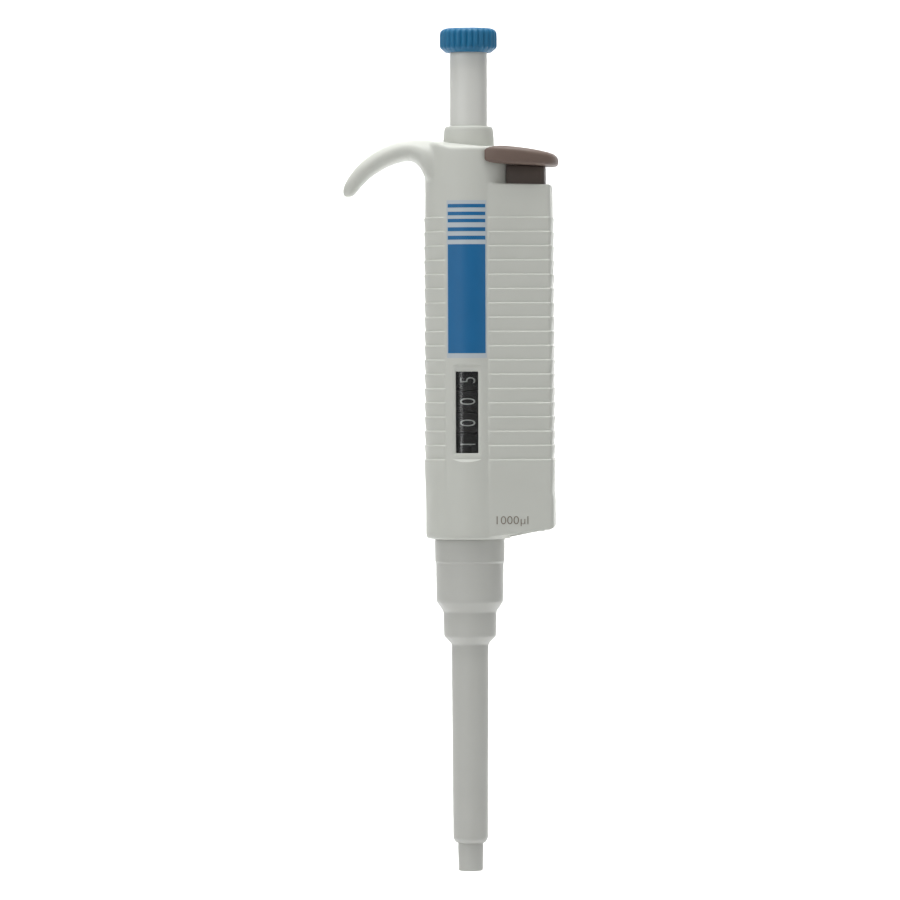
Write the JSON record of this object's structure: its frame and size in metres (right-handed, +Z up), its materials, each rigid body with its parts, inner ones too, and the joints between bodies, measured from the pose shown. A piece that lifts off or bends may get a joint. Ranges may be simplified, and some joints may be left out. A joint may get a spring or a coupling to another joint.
{
  "type": "adjustable micropipette",
  "caption": "Adjustable air-displacement micropipette with push button, volume counter, finger hook and side tip ejector.",
  "frame": {"origin": "underside of the finger hook at its highest point, where a hanger or finger carries it", "axes": "+Z up along the plunger axis towards the push button, +X from the hook towards the ejector button, -Y is the front with the counter window"},
  "size_m": [0.0617, 0.0264, 0.2408],
  "materials": {
    "shell": "fine satin moulded",
    "sleeve": "satin moulded",
    "blue": "satin moulded",
    "label": "printed film",
    "brown": "satin moulded",
    "dark_brown": "satin moulded",
    "wheel": "moulded, digits printed",
    "clear": "polished clear",
    "frame": "moulded",
    "steel": "turned",
    "brass": "turned brass",
    "ptfe": "waxy",
    "rubber": "matt"
  },
  "bodies": {
    "handle": {"handle_shell": "shell", "bay_cover": "shell", "window_lens": "clear", "front_label": "label", "top_collar": "shell", "ejector_guide": "frame", "tip_cone": "sleeve", "cone_nut": "frame", "piston_seal": "ptfe", "seal_o_ring": "rubber", "seal_retainer": "ptfe", "counter_frame": "frame", "carry_shaft": "steel", "setting_nut": "brass", "nut_carrier": "frame", "main_spring": "steel", "blowout_spring": "steel", "ejector_spring": "steel"},
    "plunger": {"piston": "steel", "piston_head": "brass"},
    "button": {"push_button": "blue", "button_cap": "blue", "plunger_tube": "shell", "operating_rod": "steel", "rod_collar": "steel"},
    "screw_stop": {"stop_ring": "ptfe"},
    "screw": {"setting_screw": "ptfe"},
    "blowout": {"blowout_disc": "steel"},
    "units": {"units_wheel": "wheel", "drive_disc": "brass"},
    "tens": {"tens_wheel": "wheel"},
    "hundreds": {"hundreds_wheel": "wheel"},
    "thousands": {"thousands_wheel": "wheel"},
    "pinion_1": {"carry_pinion_1": "ptfe"},
    "pinion_2": {"carry_pinion_2": "ptfe"},
    "pinion_3": {"carry_pinion_3": "ptfe"},
    "ejector": {"ejector_button": "brown", "ejector_stem": "dark_brown", "ejector_rod": "steel", "rod_clip": "steel", "ejector_arm": "sleeve", "ejector_sleeve": "sleeve"}
  },
  "joints": [
    {"name": "plunger_press", "type": "slide", "parent": "handle", "child": "plunger", "axis": [0, 0, -1], "range_m": [0, 0.0195], "stiffness_N_per_m": 150, "springref_m": -0.012, "deforming": ["main_spring"]},
    {"name": "volume_dial", "type": "hinge", "parent": "plunger", "child": "button", "pos_m": [0.0173, 0, -0.2031], "axis": [0, 0, 1], "range_deg": [-6516, 0]},
    {"name": "screw_advance", "type": "slide", "parent": "handle", "child": "screw_stop", "axis": [0, 0, 1], "range_m": [-0.01449, 0]},
    {"name": "screw_turn", "type": "hinge", "parent": "screw_stop", "child": "screw", "pos_m": [0.0173, 0, -0.2031], "axis": [0, 0, 1], "range_deg": [-6517, 0]},
    {"name": "units_turn", "type": "hinge", "parent": "handle", "child": "units", "pos_m": [0.0173, 0, -0.2031], "axis": [0, 0, 1], "range_deg": [-6517, 0]},
    {"name": "tens_turn", "type": "hinge", "parent": "handle", "child": "tens", "pos_m": [0.0173, 0, -0.2031], "axis": [0, 0, 1], "range_deg": [-3241, 0]},
    {"name": "hundreds_turn", "type": "hinge", "parent": "handle", "child": "hundreds", "pos_m": [0.0173, 0, -0.2031], "axis": [0, 0, 1], "range_deg": [-325, 0]},
    {"name": "thousands_turn", "type": "hinge", "parent": "handle", "child": "thousands", "pos_m": [0.0173, 0, -0.2031], "axis": [0, 0, 1], "range_deg": [-37, 0]},
    {"name": "blowout_press", "type": "slide", "parent": "handle", "child": "blowout", "axis": [0, 0, -1], "range_m": [0, 0.0034], "deforming": ["blowout_spring"]},
    {"name": "ejector_press", "type": "slide", "parent": "handle", "child": "ejector", "axis": [0, 0, -1], "range_m": [0, 0.0044], "stiffness_N_per_m": 900, "springref_m": -0.0035, "deforming": ["ejector_spring"]},
    {"name": "pinion_1_turn", "type": "hinge", "parent": "handle", "child": "pinion_1", "pos_m": [0.0287, 0.0053, -0.2031], "axis": [0, 0, 1], "range_deg": [0, 92]},
    {"name": "pinion_2_turn", "type": "hinge", "parent": "handle", "child": "pinion_2", "pos_m": [0.0287, 0.0053, -0.2031], "axis": [0, 0, 1], "range_deg": [0, 812]},
    {"name": "pinion_3_turn", "type": "hinge", "parent": "handle", "child": "pinion_3", "pos_m": [0.0287, 0.0053, -0.2031], "axis": [0, 0, 1], "range_deg": [0, 8102]}
  ],
  "couplings": [
    {"joint": "screw_advance", "follows": "volume_dial", "m_per_rad": 0.00012732},
    {"joint": "screw_turn", "follows": "volume_dial", "ratio": 1},
    {"joint": "units_turn", "follows": "volume_dial", "ratio": 1},
    {"joint": "tens_turn", "follows": "volume_dial", "ratio": 0.49724},
    {"joint": "hundreds_turn", "follows": "volume_dial", "ratio": 0.049724},
    {"joint": "thousands_turn", "follows": "volume_dial", "ratio": 0.0055249},
    {"joint": "blowout_press", "follows": "plunger_press", "ratio": 0.17436},
    {"joint": "pinion_1_turn", "follows": "volume_dial", "ratio": -0.013812},
    {"joint": "pinion_2_turn", "follows": "volume_dial", "ratio": -0.12431},
    {"joint": "pinion_3_turn", "follows": "volume_dial", "ratio": -1.2431}
  ]
}
